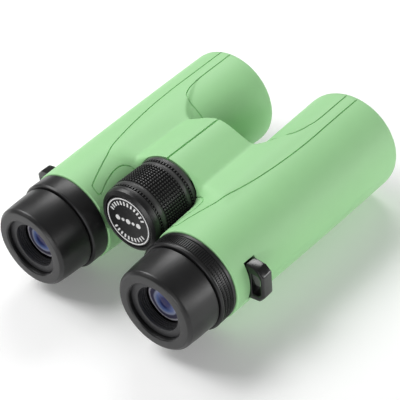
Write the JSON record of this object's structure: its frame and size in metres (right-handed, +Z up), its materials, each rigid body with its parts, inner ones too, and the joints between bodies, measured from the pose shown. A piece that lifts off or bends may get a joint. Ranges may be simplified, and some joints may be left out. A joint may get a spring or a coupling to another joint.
{
  "type": "binoculars",
  "caption": "Handheld roof-prism binoculars with folding centre hinge, centre focus wheel, dioptre ring, twist-up eyecups and strap lugs.",
  "frame": {"origin": "middle of the footprint under the hinge, on the surface that the barrels lie on", "axes": "+X to the user's right, +Y from the eyepieces to the objectives along the optical axes, +Z up"},
  "size_m": [0.1296, 0.1456, 0.055],
  "materials": {
    "armour": "matte mint-green moulded rubber skin",
    "casting": "black anodised magnesium casting",
    "eyecup_rubber": "smooth satin black rubber",
    "wheel_rubber": "knurled black rubber",
    "ring_plastic": "satin black moulded plastic",
    "lug_plastic": "semi-gloss black moulded plastic",
    "bezel_plastic": "dark grey matt plastic",
    "badge": "black disc with a white printed ring",
    "blackened": "blackened, anti-reflection",
    "glass": "multicoated optical glass, blue-violet reflection",
    "steel": "machined steel",
    "brass": "machined brass"
  },
  "bodies": {
    "left_half": {"left_casting": "casting", "left_armour": "armour", "left_strap_lug": "lug_plastic", "left_lug_screw": "steel", "left_objective_cell": "blackened", "left_objective_rear_lens": "glass", "left_objective_front_lens": "glass", "left_objective_ring": "blackened", "left_prism_holder": "lug_plastic", "left_half_penta_prism": "glass", "left_roof_prism": "glass", "left_prism_clip": "steel", "left_ocular_housing": "casting", "left_field_stop": "blackened", "left_field_lens": "glass", "left_lens_spacer": "blackened", "left_eye_lens": "glass", "left_ocular_bezel": "bezel_plastic", "left_collar": "ring_plastic", "hinge_axle_rear": "steel", "hinge_axle_front": "steel", "hinge_sleeve": "casting", "hinge_front_cover": "ring_plastic"},
    "right_half": {"right_casting": "casting", "right_armour": "armour", "right_strap_lug": "lug_plastic", "right_lug_screw": "steel", "right_objective_cell": "blackened", "right_objective_rear_lens": "glass", "right_objective_front_lens": "glass", "right_objective_ring": "blackened", "right_prism_holder": "lug_plastic", "right_half_penta_prism": "glass", "right_roof_prism": "glass", "right_prism_clip": "steel", "right_ocular_housing": "casting", "right_ocular_bezel": "bezel_plastic"},
    "focus_wheel": {"wheel_grip": "wheel_rubber", "wheel_hub": "ring_plastic", "wheel_badge": "badge", "focus_spindle": "steel"},
    "left_focus": {"focus_nut": "brass", "left_focus_arm": "brass", "left_focus_cell": "blackened", "left_focus_lens": "glass"},
    "right_focus": {"right_focus_arm": "brass", "right_focus_cell": "blackened", "right_focus_lens": "glass"},
    "left_eyecup_glide": {"left_glide_ring": "brass"},
    "left_eyecup": {"left_eyecup_sleeve": "lug_plastic", "left_eyecup": "eyecup_rubber"},
    "dioptre_ring": {"right_dioptre_ring": "ring_plastic"},
    "right_ocular": {"right_field_stop": "blackened", "right_field_lens": "glass", "right_lens_spacer": "blackened", "right_eye_lens": "glass"},
    "right_eyecup_glide": {"right_glide_ring": "brass"},
    "right_eyecup": {"right_eyecup_sleeve": "lug_plastic", "right_eyecup": "eyecup_rubber"},
    "tripod_cap": {"tripod_socket_cap": "ring_plastic"}
  },
  "joints": [
    {"name": "fold", "type": "hinge", "parent": "left_half", "child": "right_half", "pos_m": [0, 0, 0.0387], "axis": [0, 1, 0], "range_deg": [0, 44]},
    {"name": "focus_turn", "type": "hinge", "parent": "left_half", "child": "focus_wheel", "pos_m": [0, -0.033, 0.0387], "axis": [0, 1, 0], "range_deg": [-225, 225]},
    {"name": "left_focus_travel", "type": "slide", "parent": "left_half", "child": "left_focus", "axis": [0, 1, 0], "range_m": [-0.0026, 0.0026]},
    {"name": "right_focus_travel", "type": "slide", "parent": "right_half", "child": "right_focus", "axis": [0, 1, 0], "range_m": [-0.0026, 0.0026]},
    {"name": "left_eyecup_lift", "type": "slide", "parent": "left_half", "child": "left_eyecup_glide", "axis": [0, -1, 0], "range_m": [0, 0.01]},
    {"name": "left_eyecup_twist", "type": "hinge", "parent": "left_eyecup_glide", "child": "left_eyecup", "pos_m": [-0.0355, -0.065, 0.0256], "axis": [0, -1, 0], "range_deg": [0, 110]},
    {"name": "dioptre_turn", "type": "hinge", "parent": "right_half", "child": "dioptre_ring", "pos_m": [0.0355, -0.051, 0.0256], "axis": [0, 1, 0], "range_deg": [-40, 40]},
    {"name": "right_ocular_travel", "type": "slide", "parent": "right_half", "child": "right_ocular", "axis": [0, 1, 0], "range_m": [-0.0006, 0.0006]},
    {"name": "right_eyecup_lift", "type": "slide", "parent": "right_half", "child": "right_eyecup_glide", "axis": [0, -1, 0], "range_m": [0, 0.01]},
    {"name": "right_eyecup_twist", "type": "hinge", "parent": "right_eyecup_glide", "child": "right_eyecup", "pos_m": [0.0355, -0.065, 0.0256], "axis": [0, -1, 0], "range_deg": [0, 110]},
    {"name": "tripod_cap_off", "type": "slide", "parent": "left_half", "child": "tripod_cap", "axis": [0, 1, 0], "range_m": [0, 0.014]}
  ],
  "couplings": [
    {"joint": "left_focus_travel", "follows": "focus_turn", "m_per_rad": 0.000662},
    {"joint": "right_focus_travel", "follows": "focus_turn", "m_per_rad": 0.000662},
    {"joint": "left_eyecup_lift", "follows": "left_eyecup_twist", "m_per_rad": 0.005208},
    {"joint": "right_eyecup_lift", "follows": "right_eyecup_twist", "m_per_rad": 0.005208},
    {"joint": "right_ocular_travel", "follows": "dioptre_turn", "m_per_rad": 0.0008594}
  ]
}
